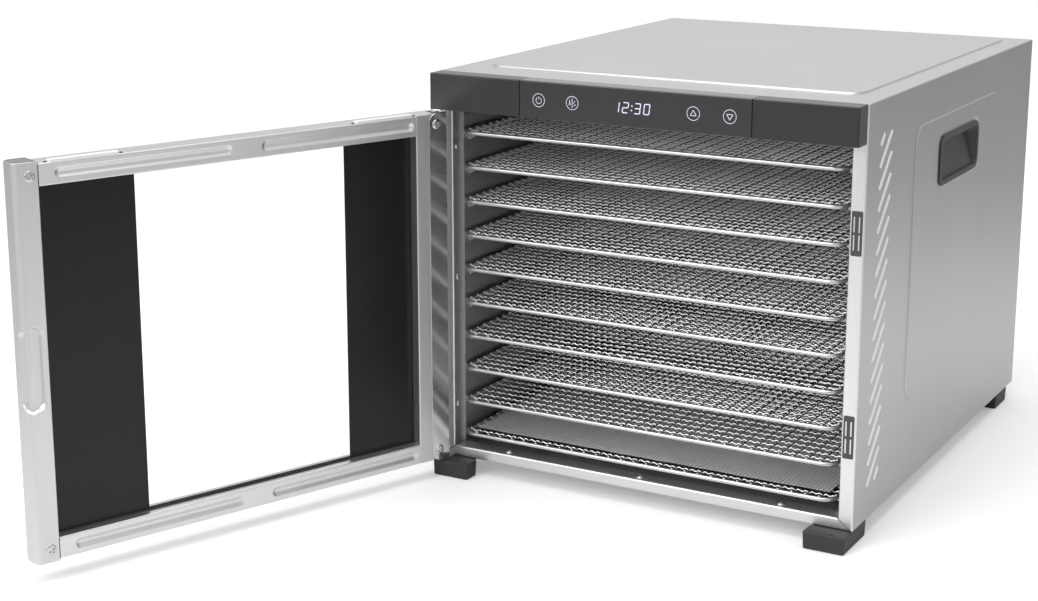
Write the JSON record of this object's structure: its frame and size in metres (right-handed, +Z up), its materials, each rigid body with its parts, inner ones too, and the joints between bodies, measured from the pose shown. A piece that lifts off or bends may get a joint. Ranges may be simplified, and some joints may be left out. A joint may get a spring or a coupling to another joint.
{
  "type": "food dehydrator",
  "caption": "Tabletop food dehydrator: steel cabinet with sliding wire trays, side-hung glass door, touch panel on the front and a fan with ring heater at the back.",
  "frame": {"origin": "on the floor, directly under the cabinet's front left corner, on the front left foot's underside", "axes": "+X to the right along the front, +Y from the front to the back, +Z up from the floor"},
  "size_m": [0.4798, 0.7709, 0.3242],
  "materials": {
    "brushed_sheet": "brushed",
    "chamber_sheet": "satin, dull inside",
    "polished_steel": "polished",
    "screw_steel": "turned",
    "tray_wire": "bright drawn wire",
    "fine_mesh": "woven food mesh",
    "fascia_black": "fine satin",
    "display_glass": "smooth",
    "led_white": "milky",
    "board": "fibreglass board",
    "motor_steel": "plain",
    "heater_steel": "heat dulled",
    "ceramic": "glazed",
    "fan_metal": "pressed",
    "pin_brass": "plated",
    "cup_black": "fine satin",
    "catch_black": "plain",
    "pole_steel": "plain",
    "magnet": "ferrite",
    "foot_rubber": "matt",
    "bush_white": "plain",
    "clear_glass": "smooth, printed with dark bands",
    "seal_black": "matt"
  },
  "bodies": {
    "cabinet": {"top_cover": "brushed_sheet", "side_panel_left": "brushed_sheet", "side_panel_right": "brushed_sheet", "bottom_panel": "brushed_sheet", "back_panel": "chamber_sheet", "liner_left": "chamber_sheet", "liner_right": "chamber_sheet", "floor_liner": "chamber_sheet", "ceiling_liner": "chamber_sheet", "air_baffle": "chamber_sheet", "fascia": "fascia_black", "display_panel": "display_glass", "led_display": "led_white", "control_board": "board", "power_board": "board", "fan_motor": "motor_steel", "motor_bracket": "chamber_sheet", "heating_element": "heater_steel", "thermal_cutout": "ceramic", "temperature_probe": "polished_steel", "rear_cover": "fascia_black", "power_inlet": "fascia_black", "inlet_pins": "pin_brass", "handle_cup_left": "cup_black", "handle_cup_right": "cup_black", "catch_housings": "catch_black", "catch_pole_plates": "pole_steel", "catch_magnets": "magnet", "upper_hinge_bracket": "polished_steel", "lower_hinge_bracket": "polished_steel", "hinge_washers": "bush_white", "front_feet": "foot_rubber", "rear_feet": "foot_rubber", "foot_screws": "screw_steel", "liner_screws": "screw_steel", "back_screws": "screw_steel"},
    "door": {"handle_stile": "brushed_sheet", "hinge_stile": "brushed_sheet", "top_rail": "brushed_sheet", "bottom_rail": "brushed_sheet", "door_glass": "clear_glass", "glass_seal": "seal_black", "hinge_strip": "polished_steel", "hinge_bushes": "bush_white", "door_screws": "screw_steel"},
    "fan": {"fan_blade": "fan_metal", "motor_shaft": "polished_steel"},
    "tray_1": {"tray_1": "tray_wire", "fine_mesh_sheet": "fine_mesh"},
    "tray_2": {"tray_2": "tray_wire"},
    "tray_3": {"tray_3": "tray_wire"},
    "tray_4": {"tray_4": "tray_wire"},
    "tray_5": {"tray_5": "tray_wire"},
    "tray_6": {"tray_6": "tray_wire"},
    "tray_7": {"tray_7": "tray_wire"},
    "tray_8": {"tray_8": "tray_wire"},
    "tray_9": {"tray_9": "tray_wire"},
    "tray_10": {"tray_10": "tray_wire"}
  },
  "joints": [
    {"name": "door_hinge", "type": "hinge", "parent": "cabinet", "child": "door", "pos_m": [0.0025, -0.0112, 0.1543], "axis": [0, 0, -1], "range_deg": [-111.5, 58.5]},
    {"name": "fan_spin", "type": "hinge", "parent": "cabinet", "child": "fan", "pos_m": [0.1725, 0.36, 0.15925], "axis": [0, 1, 0], "continuous": true},
    {"name": "tray_1_slide", "type": "slide", "parent": "cabinet", "child": "tray_1", "axis": [0, -1, 0], "range_m": [0, 0.32]},
    {"name": "tray_2_slide", "type": "slide", "parent": "cabinet", "child": "tray_2", "axis": [0, -1, 0], "range_m": [0, 0.32]},
    {"name": "tray_3_slide", "type": "slide", "parent": "cabinet", "child": "tray_3", "axis": [0, -1, 0], "range_m": [0, 0.32]},
    {"name": "tray_4_slide", "type": "slide", "parent": "cabinet", "child": "tray_4", "axis": [0, -1, 0], "range_m": [0, 0.32]},
    {"name": "tray_5_slide", "type": "slide", "parent": "cabinet", "child": "tray_5", "axis": [0, -1, 0], "range_m": [0, 0.32]},
    {"name": "tray_6_slide", "type": "slide", "parent": "cabinet", "child": "tray_6", "axis": [0, -1, 0], "range_m": [0, 0.32]},
    {"name": "tray_7_slide", "type": "slide", "parent": "cabinet", "child": "tray_7", "axis": [0, -1, 0], "range_m": [0, 0.32]},
    {"name": "tray_8_slide", "type": "slide", "parent": "cabinet", "child": "tray_8", "axis": [0, -1, 0], "range_m": [0, 0.32]},
    {"name": "tray_9_slide", "type": "slide", "parent": "cabinet", "child": "tray_9", "axis": [0, -1, 0], "range_m": [0, 0.32]},
    {"name": "tray_10_slide", "type": "slide", "parent": "cabinet", "child": "tray_10", "axis": [0, -1, 0], "range_m": [0, 0.32]}
  ]
}
